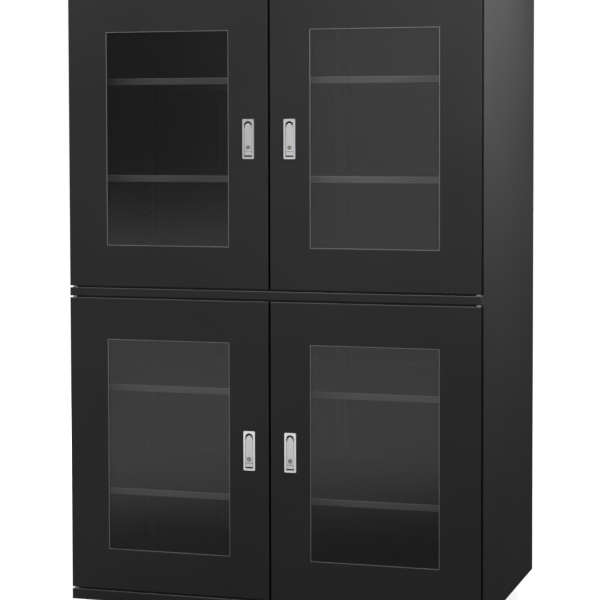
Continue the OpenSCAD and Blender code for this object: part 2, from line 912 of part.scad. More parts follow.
// The rubber of a door: the glazing gasket, and the waisted seal that closes on the body.
module seals(side, level) {
    gasket_y = front_y + skin_t + glass_t;
    y0 = front_y + door_t;
    y1 = body_y - seat_gap;
    seal_out_w = door_w - 2 * seal_inset;
    seal_out_h = door_h - 2 * seal_inset;
    waist_in = (seal_w - seal_waist_w) / 2;
    lip_in = (seal_w - seal_lip_w) / 2;
    color("#151515") on_side(side) translate([door_x + door_w / 2, 0, level_z(level) + door_h / 2]) {
        plate_y(gasket_y, gasket_y + gasket_d) ring(tunnel_w, tunnel_h, gasket_w);
        plate_y(y0, y0 + seal_base_t) ring(seal_out_w, seal_out_h, seal_w);
        plate_y(y0 + seal_base_t, y1 - seal_lip_t) {
            ring(seal_out_w - 2 * waist_in, seal_out_h - 2 * waist_in, seal_waist_w);
        }
        plate_y(y1 - seal_lip_t, y1) ring(seal_out_w - 2 * lip_in, seal_out_h - 2 * lip_in, seal_lip_w);
    }
}

// Places what is built round a lock's centre, in X and Z, on its door.
module at_lock(side, level) {
    on_side(side) translate([lock_x, 0, level_z(level) + door_h / 2]) children();
}

// Outline of a lock's pocket: a round top at the lever's pivot and a square foot.
module pocket_outline() {
    foot_z = lock_rim - lock_h / 2;
    translate([0, lever_dz]) circle(pocket_r);
    translate([-pocket_r, foot_z]) square([2 * pocket_r, lever_dz - foot_z]);
}

// Outline of the lever: a wide grip that narrows from its shoulders to the round neck at its pivot.
module lever_outline() {
    shoulder_z = lever_dz - lever_shoulder;
    translate([0, lever_dz]) circle(lever_neck_r);
    polygon([
        [-lever_r, lever_foot_z],
        [lever_r, lever_foot_z],
        [lever_r, shoulder_z],
        [lever_neck_r, lever_dz],
        [-lever_neck_r, lever_dz],
        [-lever_r, shoulder_z]
    ]);
}

// The case of a lock: face plate and body, with the pocket of lever and button and the deeper turret well.
module lock_case(side, level) {
    color("#b9babb") at_lock(side, level) difference() {
        union() {
            plate_y(lock_y, front_y) rounded(lock_w, lock_h, lock_corner_r);
            plate_y(front_y, lock_y + lock_body_d) rounded(lock_body_w, lock_body_h, lock_corner_r);
        }
        plate_y(lock_y - cut_over, lock_y + pocket_d) pocket_outline();
        translate([0, 0, lever_dz]) {
            rod_y(lock_y - cut_over, lock_y + turret_d, pocket_r);
            rod_y(lock_y, lock_y + lock_body_d + cut_over, spindle_r + bore_clear);
            translate([0, lock_y + lever_t / 2, 0]) {
                rod_x(-lever_pin_x - seat_gap, lever_pin_x + seat_gap, lever_pin_r + bore_clear);
            }
        }
    }
}

// The lever, flush in its case at rest, with its pivot stubs, the key's bore and a finger grip.
module lever(side, level) {
    color("#c6c7c8") at_lock(side, level) {
        difference() {
            plate_y(lock_y, lock_y + lever_t) lever_outline();
            translate([0, 0, key_dz]) rod_y(lock_y - cut_over, lock_y + lever_t + cut_over, key_r + bore_clear);
        }
        translate([0, lock_y + lever_t / 2, lever_dz]) rod_x(-lever_pin_x, lever_pin_x, lever_pin_r);
    }
}

// The release button under the lever.
module button(side, level) {
    color("#c6c7c8") at_lock(side, level) translate([0, 0, button_z0 + button_h / 2]) {
        plate_y(lock_y, lock_y + button_t) rounded(lever_w, button_h, bend_r / 2);
    }
}

// The key cylinder in the lever, with its keyway.
module key_cylinder(side, level) {
    color("#a89f93") at_lock(side, level) translate([0, 0, key_dz]) difference() {
        rod_y(lock_y, lock_y + pocket_d - seat_gap, key_r);
        plate_y(lock_y - cut_over, lock_y + key_slot_d) square([key_slot_w, key_slot_h], center = true);
    }
}

// The spindle with its cam behind the door, hanging down when unlatched.
module cam(side, level) {
    color("#9c9ea0") at_lock(side, level) translate([0, 0, lever_dz]) {
        rod_y(lock_y + turret_d, cam_y + cam_t + nut_t / 2, spindle_r);
        plate_y(cam_y, cam_y + cam_t) {
            circle(cam_w / 2);
            translate([-cam_w / 2, -cam_reach]) square([cam_w, cam_reach]);
            translate([0, -cam_reach]) circle(cam_w / 2);
        }
        translate([0, cam_y + cam_t, 0]) rotate([-90, 0, 0]) cylinder(r = nut_r, h = nut_t, $fn = 6);
    }
}

// Puts a caster built round its swivel axis, its wheel trailing to +Y, at a corner of the body.
module at_caster(side, rear) {
    swivel_y = rear > 0 ? swivel_rear_y : swivel_front_y;
    translate([side * swivel_x, swivel_y, 0]) rotate([0, 0, rear > 0 ? 0 : 180]) children();
}

// The fixed half of each caster: plate, race and king pin.
module caster_plates() {
    top = caster_h - plate_t;
    king_foot_z = crown_z - crown_t - seat_gap - king_head_t;
    color("#b4b6b8") for (side = [-1, 1]) {
        for (rear = [-1, 1]) {
            at_caster(side, rear) {
                difference() {
                    translate([0, 0, top]) linear_extrude(plate_t) rounded(plate_w, plate_w, plate_r);
                    for (sx = [-1, 1]) {
                        for (sy = [-1, 1]) {
                            translate([sx * plate_hole_pitch / 2, sy * plate_hole_pitch / 2, 0]) {
                                rod_z(top - cut_over, caster_h + cut_over, plate_hole_r);
                            }
                        }
                    }
                }
                rod_z(top - race_h, top, race_r);
                rod_z(king_foot_z, top, king_r);
                rod_z(king_foot_z, king_foot_z + king_head_t, king_r + king_head_t);
            }
        }
    }
}

// A swivel fork with its axle, and on a braked caster the pedal's pin and ears.
module fork(side, rear) {
    x0 = wheel_w / 2 + fork_gap;
    x1 = x0 + fork_t;
    braked = rear < 0;
    color("#b4b6b8") at_caster(side, rear) {
        difference() {
            union() {
                rod_z(crown_z - crown_t, crown_z, crown_r);
                block([-x1, 0, crown_z - crown_t], [x1, caster_trail + leg_r, crown_z]);
            }
            rod_z(crown_z - crown_t - cut_over, crown_z + cut_over, king_r + bore_clear);
        }
        for (s = [-1, 1]) {
            mirror([s < 0 ? 1 : 0, 0, 0]) bar_x(x0, x1) {
                polygon([
                    [0, crown_z - crown_t],
                    [caster_trail - leg_r, wheel_r],
                    [caster_trail + leg_r, wheel_r],
                    [caster_trail + leg_r, crown_z - crown_t]
                ]);
                translate([caster_trail, wheel_r]) circle(leg_r);
                if (braked) {
                    polygon([
                        [caster_trail, crown_z - crown_t],
                        [caster_trail, wheel_r + leg_r],
                        [pedal_y, pedal_z - pedal_hub_r],
                        [pedal_y + pedal_hub_r, pedal_z],
                        [pedal_y, pedal_z + pedal_hub_r]
                    ]);
                }
            }
        }
        translate([0, caster_trail, wheel_r]) {
            rod_x(-x1, x1, axle_r);
            for (x = [-x1 - nut_t, x1]) {
                translate([x, 0, 0]) rotate([0, 90, 0]) cylinder(r = nut_r, h = nut_t, $fn = 6);
            }
        }
        if (braked) {
            translate([0, pedal_y, pedal_z]) rod_x(-x1, x1, pedal_pin_r);
        }
    }
}

// A wheel: hub, web and round-shouldered tread, turned round the axle.
module wheel(side, rear) {
    bore_r = axle_r + bore_clear;
    color("#1c1c1d") at_caster(side, rear) translate([0, caster_trail, wheel_r]) rotate([0, 90, 0]) {
        rotate_extrude() {
            translate([bore_r, -wheel_w / 2 + hub_in]) square([hub_r - bore_r, wheel_w - 2 * hub_in]);
            translate([hub_r, -web_t / 2]) square([wheel_r - tread_t - hub_r, web_t]);
            translate([wheel_r - tread_t, -wheel_w / 2]) square([tread_t - tread_r, wheel_w]);
            translate([wheel_r - tread_r, -wheel_w / 2 + tread_r]) square([tread_r, wheel_w - 2 * tread_r]);
            for (s = [-1, 1]) {
                translate([wheel_r - tread_r, s * (wheel_w / 2 - tread_r)]) circle(tread_r);
            }
        }
    }
}

// A brake pedal on a front caster: a tube on its pin, the foot plate and the shoe behind the tread.
module brake(side) {
    color("#8d1f1f") at_caster(side, -1) translate([0, pedal_y, pedal_z]) difference() {
        bar_x(-pedal_w / 2, pedal_w / 2) {
            circle(pedal_hub_r);
            rotate(pedal_rise) translate([0, -pedal_t / 2]) square([pedal_l, pedal_t]);
            translate([pedal_shoe_y, -pedal_shoe_h]) square([pedal_shoe_t, pedal_shoe_h + pedal_t / 2]);
        }
        rod_x(-pedal_w, pedal_w, pedal_pin_r + bore_clear);
    }
}

side_panel(-1);  // side_left
side_panel(1);  // side_right
back_panel();
top_box();
floor_panel();
base_pan();
front_frame();
front_rails();
header();
hinge_pins();
uprights();
shelves();
shelf_clips();
dry_unit();
control_panel();
display_window();
power_inlet();
caster_plates();
door(-1, 1);  // door_upper_left
door(1, 1);  // door_upper_right
door(-1, 0);  // door_lower_left
door(1, 0);  // door_lower_right
glass(-1, 1);  // glass_upper_left
glass(1, 1);  // glass_upper_right
glass(-1, 0);  // glass_lower_left
glass(1, 0);  // glass_lower_right
seals(-1, 1);  // seals_upper_left
seals(1, 1);  // seals_upper_right
seals(-1, 0);  // seals_lower_left
seals(1, 0);  // seals_lower_right
lock_case(-1, 1);  // lock_case_upper_left
lock_case(1, 1);  // lock_case_upper_right
lock_case(-1, 0);  // lock_case_lower_left
lock_case(1, 0);  // lock_case_lower_right
lever(-1, 1);  // lever_upper_left
lever(1, 1);  // lever_upper_right
lever(-1, 0);  // lever_lower_left
lever(1, 0);  // lever_lower_right
button(-1, 1);  // button_upper_left
button(1, 1);  // button_upper_right
button(-1, 0);  // button_lower_left
button(1, 0);  // button_lower_right
key_cylinder(-1, 1);  // key_cylinder_upper_left
key_cylinder(1, 1);  // key_cylinder_upper_right
key_cylinder(-1, 0);  // key_cylinder_lower_left
key_cylinder(1, 0);  // key_cylinder_lower_right
cam(-1, 1);  // cam_upper_left
cam(1, 1);  // cam_upper_right
cam(-1, 0);  // cam_lower_left
cam(1, 0);  // cam_lower_right
fork(-1, -1);  // fork_front_left
fork(1, -1);  // fork_front_right
fork(-1, 1);  // fork_rear_left
fork(1, 1);  // fork_rear_right
wheel(-1, -1);  // wheel_front_left
wheel(1, -1);  // wheel_front_right
wheel(-1, 1);  // wheel_rear_left
wheel(1, 1);  // wheel_rear_right
brake(-1);  // brake_front_left
brake(1);  // brake_front_right
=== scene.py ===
"""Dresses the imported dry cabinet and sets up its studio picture. Sizes are in metres."""

import logging
import math
from dataclasses import dataclass
from enum import Enum
from typing import Callable, Iterable, Sequence

import bmesh
import bpy
from mathutils import Matrix, Vector


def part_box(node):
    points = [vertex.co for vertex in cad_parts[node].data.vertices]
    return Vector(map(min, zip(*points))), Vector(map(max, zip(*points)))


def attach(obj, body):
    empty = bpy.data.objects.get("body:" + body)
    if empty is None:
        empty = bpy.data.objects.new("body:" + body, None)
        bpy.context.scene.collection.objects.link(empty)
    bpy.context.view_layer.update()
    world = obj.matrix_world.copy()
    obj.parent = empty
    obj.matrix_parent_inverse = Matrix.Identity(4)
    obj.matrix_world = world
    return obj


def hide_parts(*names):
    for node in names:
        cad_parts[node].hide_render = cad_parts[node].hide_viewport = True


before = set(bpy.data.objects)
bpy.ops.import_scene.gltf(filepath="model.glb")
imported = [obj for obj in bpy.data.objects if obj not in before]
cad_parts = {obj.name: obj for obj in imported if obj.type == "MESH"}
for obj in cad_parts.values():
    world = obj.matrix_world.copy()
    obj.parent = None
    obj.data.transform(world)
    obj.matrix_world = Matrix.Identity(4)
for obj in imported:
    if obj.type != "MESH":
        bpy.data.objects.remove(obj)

LOG = logging.getLogger("dry_cabinet")
MM = 0.001
FACING = 0.7
Triple = tuple[float, float, float]
Outline = Sequence[tuple[float, float]]


class Side(Enum):
    """Which side of the cabinet a piece is on, as the sign of X."""

    LEFT = -1
    RIGHT = 1


class Level(Enum):
    """Which pair of doors a piece belongs to."""

    LOWER = 0
    UPPER = 1


class Axis(Enum):
    """An axis of the frame."""

    X = 0
    Y = 1
    Z = 2


@dataclass(frozen=True)
class Coating:
    """A painted, moulded or rubber surface with a fine grain and a slow drift of tone.

    Attributes:
        name: the material's name.
        colour: linear base colour.
        rough: mean roughness.
        grain: size of the grain in metres.
        relief: height of the grain in metres.
        drift: how far the tone wanders, as a share.
        specular: specular level of the shader.
        metallic: how far it is a metal, from 0 to 1.
        stretch: scale of the grain along each axis.
        rough_swing: how far the roughness goes either way with the grain.
        drift_scale: how fast the tone wanders, in waves per metre.
        grain_share: how much of the tone comes from the grain.
        relief_share: strength of the grain's relief.
    """

    name: str
    colour: Triple
    rough: float = 0.5
    grain: float = 0.0009
    relief: float = 0.00004
    drift: float = 0.12
    specular: float = 0.5
    metallic: float = 0.0
    stretch: Triple = (1.0, 1.0, 1.0)
    rough_swing: float = 0.06
    drift_scale: float = 3.1
    grain_share: float = 0.35
    relief_share: float = 0.6

    TONE_STOPS = (0.35, 0.95)
    GRAIN_RANGE = (0.3, 0.7)
    GRAIN_DETAIL = 3.0
    DRIFT_DETAIL = 2.0

    def build(self) -> bpy.types.Material:
        """Makes the node material.

        Returns:
            The new material.
        """
        mat = bpy.data.materials.new(self.name)
        mat.use_nodes = True
        nodes, links = mat.node_tree.nodes, mat.node_tree.links
        shader = nodes["Principled BSDF"]
        shader.inputs["Metallic"].default_value = self.metallic
        shader.inputs["Specular IOR Level"].default_value = self.specular
        place = nodes.new("ShaderNodeTexCoord")
        turn = nodes.new("ShaderNodeMapping")
        turn.inputs["Scale"].default_value = self.stretch
        links.new(place.outputs["Object"], turn.inputs["Vector"])
        fine = nodes.new("ShaderNodeTexNoise")
        fine.inputs["Scale"].default_value = 1.0 / self.grain
        fine.inputs["Detail"].default_value = self.GRAIN_DETAIL
        slow = nodes.new("ShaderNodeTexNoise")
        slow.inputs["Scale"].default_value = self.drift_scale
        slow.inputs["Detail"].default_value = self.DRIFT_DETAIL
        for noise in (fine, slow):
            links.new(turn.outputs["Vector"], noise.inputs["Vector"])
        blend = nodes.new("ShaderNodeMath")
        blend.operation = "MULTIPLY_ADD"
        blend.inputs[1].default_value = self.grain_share
        links.new(fine.outputs["Fac"], blend.inputs[0])
        links.new(slow.outputs["Fac"], blend.inputs[2])
        tone = nodes.new("ShaderNodeValToRGB")
        shares = (1.0 - self.drift, 1.0 + self.drift)
        for stop, position, share in zip(tone.color_ramp.elements, self.TONE_STOPS, shares):
            stop.position = position
            stop.color = (*(min(1.0, c * share) for c in self.colour), 1.0)
        links.new(blend.outputs["Value"], tone.inputs["Fac"])
        links.new(tone.outputs["Color"], shader.inputs["Base Color"])
        gloss = nodes.new("ShaderNodeMapRange")
        gloss.inputs["From Min"].default_value, gloss.inputs["From Max"].default_value = self.GRAIN_RANGE
        gloss.inputs["To Min"].default_value = max(0.02, self.rough - self.rough_swing)
        gloss.inputs["To Max"].default_value = min(1.0, self.rough + self.rough_swing)
        links.new(fine.outputs["Fac"], gloss.inputs["Value"])
        links.new(gloss.outputs["Result"], shader.inputs["Roughness"])
        bump = nodes.new("ShaderNodeBump")
        bump.inputs["Distance"].default_value = self.relief
        bump.inputs["Strength"].default_value = self.relief_share
        links.new(fine.outputs["Fac"], bump.inputs["Height"])
        links.new(bump.outputs["Normal"], shader.inputs["Normal"])
        return mat


@dataclass(frozen=True)
class Pane:
    """Clear glass, seen through with a faint haze.

    Attributes:
        name: the material's name.
        tint: linear colour of the haze.
        haze: share of the light that the pane keeps.
        rough: roughness of its face.
        specular: specular level of the shader.
        smear_scale: how fast the haze wanders, in waves per metre.
        smear: how far the haze wanders, as a share.
    """

    name: str
    tint: Triple
    haze: float
    rough: float = 0.2
    specular: float = 1.0
    smear_scale: float = 2.3
    smear: float = 0.15

    def build(self) -> bpy.types.Material:
        """Makes the node material.

        Returns:
            The new material.
        """
        mat = bpy.data.materials.new(self.name)
        mat.use_nodes = True
        nodes, links = mat.node_tree.nodes, mat.node_tree.links
        shader = nodes["Principled BSDF"]
        shader.inputs["Alpha"].default_value = self.haze
        shader.inputs["Roughness"].default_value = self.rough
        shader.inputs["Specular IOR Level"].default_value = self.specular
        place = nodes.new("ShaderNodeTexCoord")
        smear = nodes.new("ShaderNodeTexNoise")
        smear.inputs["Scale"].default_value = self.smear_scale
        links.new(place.outputs["Object"], smear.inputs["Vector"])
        tone = nodes.new("ShaderNodeValToRGB")
        for stop, share in zip(tone.color_ramp.elements, (1.0 - self.smear, 1.0 + self.smear)):
            stop.color = (*(min(1.0, c * share) for c in self.tint), 1.0)
        links.new(smear.outputs["Fac"], tone.inputs["Fac"])
        links.new(tone.outputs["Color"], shader.inputs["Base Color"])
        mat.surface_render_method = "BLENDED"
        return mat


@dataclass(frozen=True)
class Glow:
    """A lit segment of the readout.

    Attributes:
        name: the material's name.
        colour: linear colour of the light.
        strength: brightness, where 1 is white.
        rough: roughness of its face.
        mottle_scale: grain of the light, in waves per metre.
        dimmest: the grain's darkest share of the colour.
    """

    name: str
    colour: Triple
    strength: float
    rough: float = 0.4
    mottle_scale: float = 900.0
    dimmest: float = 0.85

    def build(self) -> bpy.types.Material:
        """Makes the node material.

        Returns:
            The new material.
        """
        mat = bpy.data.materials.new(self.name)
        mat.use_nodes = True
        nodes, links = mat.node_tree.nodes, mat.node_tree.links
        shader = nodes["Principled BSDF"]
        shader.inputs["Roughness"].default_value = self.rough
        shader.inputs["Emission Strength"].default_value = self.strength
        place = nodes.new("ShaderNodeTexCoord")
        mottle = nodes.new("ShaderNodeTexNoise")
        mottle.inputs["Scale"].default_value = self.mottle_scale
        links.new(place.outputs["Object"], mottle.inputs["Vector"])
        tone = nodes.new("ShaderNodeValToRGB")
        for stop, share in zip(tone.color_ramp.elements, (self.dimmest, 1.0)):
            stop.color = (*(c * share for c in self.colour), 1.0)
        links.new(mottle.outputs["Fac"], tone.inputs["Fac"])
        links.new(tone.outputs["Color"], shader.inputs["Base Color"])
        links.new(tone.outputs["Color"], shader.inputs["Emission Color"])
        return mat


class Finishes:
    """The cabinet's finishes, each made once."""

    front_coat = Coating("front powder coat", (0.02, 0.02, 0.021), rough=0.5, specular=0.1)
    side_coat = Coating("side powder coat", (0.04, 0.04, 0.0408), rough=0.6, grain=0.003, relief=0.00001,
                        drift=0.06, specular=0.0)
    # Painted shade: near-black coat on the doors' side edges, standing in for the shadow in the gap between
    # door and body.
    door_edge_shade = Coating("door edge painted shade", (0.006, 0.006, 0.0062), rough=0.7, relief=0.00001, specular=0.0)
    # Painted highlight: lighter coat on the upward faces of rails and doors, standing in for light catching
    # their upper edges.
    upper_edge_highlight = Coating("upper edge painted highlight", (0.1, 0.1, 0.102), rough=0.5, relief=0.00001, specular=0.3)
    inner_coat = Coating("inner powder coat", (0.075, 0.075, 0.077), rough=0.45, grain=0.003, relief=0.00001,
                         drift=0.06, specular=0.3)
    pin_steel = Coating("hinge pin steel", (0.32, 0.32, 0.33), rough=0.45, grain=0.001, relief=0.00001,
                        metallic=1.0)
    shelf_coat = Coating("shelf powder coat", (0.045, 0.045, 0.046), rough=0.5, relief=0.00001, specular=0.2)
    # Painted light: the shelves' front lip faces get a lighter copy of the shelf paint, as where light falls
    # on them.
    lip_coat = Coating("shelf lip painted light", (0.24, 0.24, 0.244), rough=0.4, relief=0.00001, specular=0.4)
    # Painted highlight: pale strips along the shelves' upper front edges, standing in for light catching the
    # bends.
    shelf_edge_highlight = Coating("shelf edge painted highlight", (0.5, 0.5, 0.505), rough=0.4, relief=0.00001, specular=0.4)
    seal_rubber = Coating("seal rubber", (0.012, 0.012, 0.012), rough=0.7, grain=0.0006, specular=0.3)
    lock_plate = Coating("satin plated casting", (0.76, 0.76, 0.77), rough=0.3, grain=0.0004, relief=0.00001,
                         drift=0.05, metallic=1.0)
    lever_plate = Coating("satin plated lever", (0.66, 0.66, 0.67), rough=0.36, grain=0.0004, relief=0.00001,
                          drift=0.05, metallic=1.0, stretch=(1.0, 1.0, 0.2))
    key_steel = Coating("key cylinder", (0.42, 0.36, 0.31), rough=0.35, grain=0.0005, relief=0.00001,
                        metallic=1.0)
    zinc = Coating("zinc plate", (0.62, 0.63, 0.66), rough=0.38, grain=0.002, relief=0.00001, metallic=1.0)
    # Painted highlight: the bead's pale grey stands in for the window cut-out's edge catching light.
    bead = Coating("window bead", (0.13, 0.13, 0.13), rough=0.35, grain=0.001, specular=0.6)
    # Painted shade: dark coat for the lock's pocket and the key collar, standing in for the shade in these
    # recesses.
    painted_recess_shade = Coating("lock recess", (0.035, 0.035, 0.036), rough=0.5, grain=0.0006, relief=0.0, metallic=0.6)
    # Painted shade: the keyway's dark mark stands in for the shade inside the key slot.
    keyway = Coating("keyway", (0.012, 0.011, 0.01), rough=0.6, grain=0.0006, relief=0.0)
    plastic = Coating("black moulding", (0.018, 0.018, 0.019), rough=0.42, grain=0.0007)
    screen = Coating("smoked screen", (0.006, 0.007, 0.008), rough=0.08, grain=0.01, relief=0.0, drift=0.1)
    wheel = Coating("wheel polyamide", (0.02, 0.02, 0.02), rough=0.45, grain=0.0012)
    pedal = Coating("pedal moulding", (0.05, 0.05, 0.052), rough=0.5, grain=0.001)
    pane = Pane("window pane", (0.02, 0.02, 0.021), 0.35)
    digits = Glow("readout digits", (0.25, 0.9, 0.55), 1.2)

    def __init__(self) -> None:
        """Starts with no material made."""
        self._made: dict[str, bpy.types.Material] = {}

    def get(self, finish: Coating | Pane | Glow) -> bpy.types.Material:
        """Gives the material of a finish, making it at its first use.

        Args:
            finish: one of this class's finishes.

        Returns:
            The material.
        """
        if finish.name not in self._made:
            self._made[finish.name] = finish.build()
        return self._made[finish.name]

    def dress(self, names: Iterable[str], finish: Coating | Pane | Glow) -> None:
        """Gives CAD nodes a finish.

        Args:
            names: the nodes' names.
            finish: the finish.
        """
        for name in names:
            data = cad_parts[name].data
            data.materials.clear()
            data.materials.append(self.get(finish))

    def patch(self, name: str, finish: Coating, test: Callable[[Vector, Vector], bool]) -> None:
        """Gives some faces of a dressed CAD node a finish of their own.

        Args:
            name: the node's name.
            finish: the faces' finish.
            test: says from a face's centre and normal whether it gets the finish.
        """
        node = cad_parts[name]
        index = len(node.data.materials)
        node.data.materials.append(self.get(finish))
        for poly in node.data.polygons:
            if test(node.matrix_world @ poly.center, poly.normal):
                poly.material_index = index


class Workshop:
    """Makes pieces from bmesh operators and puts them on their bodies."""

    def __init__(self, finishes: Finishes) -> None:
        """Keeps the finishes.

        Args:
            finishes: the cabinet's finishes.
        """
        self.finishes = finishes
        self.count = 0

    def block(self, bm: bmesh.types.BMesh, low: Sequence[float], high: Sequence[float],
              bevel: float = 0.0) -> None:
        """Adds a box, with its edges bevelled.

        Args:
            bm: the mesh to add to.
            low: lowest corner.
            high: highest corner.
            bevel: width of the bevel.
        """
        made = bmesh.ops.create_cube(bm, size=1.0)["verts"]
        size, middle = Vector(high) - Vector(low), (Vector(low) + Vector(high)) / 2
        bmesh.ops.transform(bm, matrix=Matrix.Translation(middle) @ Matrix.Diagonal((*size, 1.0)), verts=made)
        if bevel > 0:
            self.soften(bm, {edge for vert in made for edge in vert.link_edges}, bevel)

    def soften(self, bm: bmesh.types.BMesh, edges: Iterable[bmesh.types.BMEdge], bevel: float) -> None:
        """Bevels edges in two steps.

        Args:
            bm: the mesh that they belong to.
            edges: the edges.
            bevel: width of the bevel.
        """
        chosen = set(edges)
        ordered = [edge for edge in bm.edges if edge in chosen]
        bmesh.ops.bevel(bm, geom=ordered, offset=bevel, segments=2, profile=0.5, affect="EDGES", material=-1)

    def disc(self, bm: bmesh.types.BMesh, centre: Sequence[float], axis: Axis, radius: float, depth: float,
             segments: int = 24, bevel: float = 0.0) -> None:
        """Adds a short round bar that is centred on a point.

        Args:
            bm: the mesh to add to.
            centre: middle of the bar.
            axis: direction of the bar.
            radius: radius of the bar.
            depth: length of the bar.
            segments: sides of the bar.
            bevel: width of the bevel round both ends.
        """
        verts = bmesh.ops.create_cone(bm, cap_ends=True, segments=segments, radius1=radius, radius2=radius,
                                      depth=depth)["verts"]
        turns = {Axis.X: Matrix.Rotation(math.pi / 2, 4, "Y"), Axis.Y: Matrix.Rotation(math.pi / 2, 4, "X"),
                 Axis.Z: Matrix.Identity(4)}
        bmesh.ops.transform(bm, matrix=Matrix.Translation(Vector(centre)) @ turns[axis], verts=verts)
        if bevel > 0:
            caps = {face for vert in verts for face in vert.link_faces if len(face.verts) > 4}
            self.soften(bm, {edge for face in caps for edge in face.edges}, bevel)

    def finish(self, bm: bmesh.types.BMesh, name: str, body: str, coat: Coating | Pane | Glow,
               replaces: str | None = None) -> None:
        """Turns a mesh into a piece that rides on a body.

        Args:
            bm: the mesh, which is freed.
            name: the piece's name.
            body: the CAD body that it rides on.
            coat: its finish.
            replaces: the CAD node that it stands for, if any.
        """
        data = bpy.data.meshes.new(name)
        bm.to_mesh(data)
        bm.free()
        data.materials.append(self.finishes.get(coat))
        piece = bpy.data.objects.new(name, data)
        bpy.context.scene.collection.objects.link(piece)
        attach(piece, body)
        if replaces:
            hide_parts(replaces)
        self.count += 1
        LOG.info("made %s on %s", name, body)


@dataclass
class Doorway:
    """One door with its window bead, lock trim and seal.

    Attributes:
        side: which side it is on.
        level: which pair it belongs to.
        shop: where its pieces are made.
        edge: how deep a face may lie and still count as the door's edge.
        bead_set: how far the bead lies behind the door's front.
        bead_band: width of the bead.
        bead_depth: depth of the bead.
        bead_bevel: bevel of the bead.
        lap: how far the pane runs behind the door.
        case_flange: depth of the lock case's front flange that keeps its bright finish; the faces behind it
            get painted shade.
        pocket_clear: gap between the lever and the pocket's walls.
        lever_half: half of the lever's width.
        neck: radius of the lever's neck.
        shoulder: height from the lever's shoulders to its pivot.
        stub_radius: radius of the pivot stubs.
        stub_sides: sides of the pivot stubs.
        rim_bevel: bevel of the lever's and the button's front rims.
        bore_clear: gap round the key cylinder.
        round_sides: sides of the bore, the collar and the core.
        collar_set: how far the collar lies behind the cylinder's front.
        collar_band: width of the collar.
        collar_depth: depth of the collar.
        collar_bevel: bevel of the collar.
        core_set: how far the core lies behind the cylinder's front.
        core_lap: how far the core runs under the collar.
        core_bevel: bevel of the core.
        keyway_half: half of the keyway's width and of its height.
        keyway_proud: how far the keyway's mark, a dark block painted as the slot's shade, stands out of the
            core.
        keyway_depth: how deep the keyway's mark goes.
    """

    side: Side
    level: Level
    shop: Workshop
    edge: float = 1 * MM
    bead_set: float = 0.1 * MM
    bead_band: float = 1.8 * MM
    bead_depth: float = 1.3 * MM
    bead_bevel: float = 0.3 * MM
    lap: float = 12 * MM
    case_flange: float = 0.4 * MM
    pocket_clear: float = 2 * MM
    lever_half: float = 10.75 * MM
    neck: float = 6 * MM
    shoulder: float = 6.5 * MM
    stub_radius: float = 1.5 * MM
    stub_sides: int = 16
    rim_bevel: float = 0.9 * MM
    bore_clear: float = 0.05 * MM
    round_sides: int = 32
    collar_set: float = 0.3 * MM
    collar_band: float = 1.0 * MM
    collar_depth: float = 2 * MM
    collar_bevel: float = 0.25 * MM
    core_set: float = 0.8 * MM
    core_lap: float = 0.1 * MM
    core_bevel: float = 0.4 * MM
    keyway_half: tuple[float, float] = (0.6 * MM, 3.5 * MM)
    keyway_proud: float = 0.05 * MM
    keyway_depth: float = 1 * MM

    @property
    def tag(self) -> str:
        """Gives the ending of the names of this door's nodes."""
        return f"{self.level.name.lower()}_{self.side.name.lower()}"

    def build(self) -> None:
        """Dresses this door and makes its trim."""
        finishes, tag = self.shop.finishes, self.tag
        finishes.dress([f"door_{tag}"], finishes.front_coat)
        finishes.dress([f"glass_{tag}"], finishes.pane)
        finishes.dress([f"seals_{tag}"], finishes.seal_rubber)
        finishes.dress([f"lock_case_{tag}"], finishes.lock_plate)
        finishes.dress([f"lever_{tag}", f"button_{tag}"], finishes.lever_plate)
        finishes.dress([f"key_cylinder_{tag}"], finishes.key_steel)
        finishes.dress([f"cam_{tag}"], finishes.zinc)
        self._edges()
        self._bead()
        self._recess()
        self._lever()
        self._key()
        self._button()

    def _edges(self) -> None:
        """Paints the door's side edges near-black as painted shade of the gap beside the body, and its upper
        edge lighter as a painted highlight.
        """
        name, finishes = f"door_{self.tag}", self.shop.finishes
        low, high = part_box(name)
        # Painted shade on the side edges, painted highlight on the upper edge.
        finishes.patch(name, finishes.door_edge_shade, lambda spot, normal: abs(normal.x) > FACING
                       and min(spot.x - low.x, high.x - spot.x) < self.edge)
        finishes.patch(name, finishes.upper_edge_highlight, lambda spot, normal: normal.z > FACING
                       and high.z - spot.z < self.edge)

    def _bead(self) -> None:
        """Makes the thin bead that edges the window's cut-out; its pale grey is a painted highlight of the
        edge catching light.
        """
        low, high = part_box(f"glass_{self.tag}")
        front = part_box(f"door_{self.tag}")[0].y + self.bead_set
        back, band = front + self.bead_depth, self.bead_band
        x0, x1, z0, z1 = low.x + self.lap, high.x - self.lap, low.z + self.lap, high.z - self.lap
        bars = (((x0, z0), (x1, z0 + band)), ((x0, z1 - band), (x1, z1)),
                ((x0, z0 + band), (x0 + band, z1 - band)), ((x1 - band, z0 + band), (x1, z1 - band)))
        bm = bmesh.new()
        for first, last in bars:
            self.shop.block(bm, (first[0], front, first[1]), (last[0], back, last[1]), self.bead_bevel)
        # The bead's pale grey is a painted highlight.
        self.shop.finish(bm, f"window_bead_{self.tag}", f"door_{self.tag}", self.shop.finishes.bead)

    def _recess(self) -> None:
        """Gives the inside of the lock's case a dark coat, painted shade where the pocket is in shade."""
        name, finishes = f"lock_case_{self.tag}", self.shop.finishes
        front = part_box(name)[0].y + self.case_flange
        left, right = (corner.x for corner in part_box(f"lever_{self.tag}"))
        # Painted shade inside the pocket round the lever.
        finishes.patch(name, finishes.painted_recess_shade, lambda spot, normal: spot.y > front
                       and left - self.pocket_clear < spot.x < right + self.pocket_clear)

    def _ring(self, x: float, z: float, radius: float) -> Outline:
        """Gives the points of a circle.

        Args:
            x: the circle's middle along X.
            z: the circle's middle along Z.
            radius: its radius.

        Returns:
            The points, as X and Z.
        """
        angles = [math.tau * k / self.round_sides for k in range(self.round_sides)]
        return [(x + radius * math.cos(angle), z + radius * math.sin(angle)) for angle in angles]

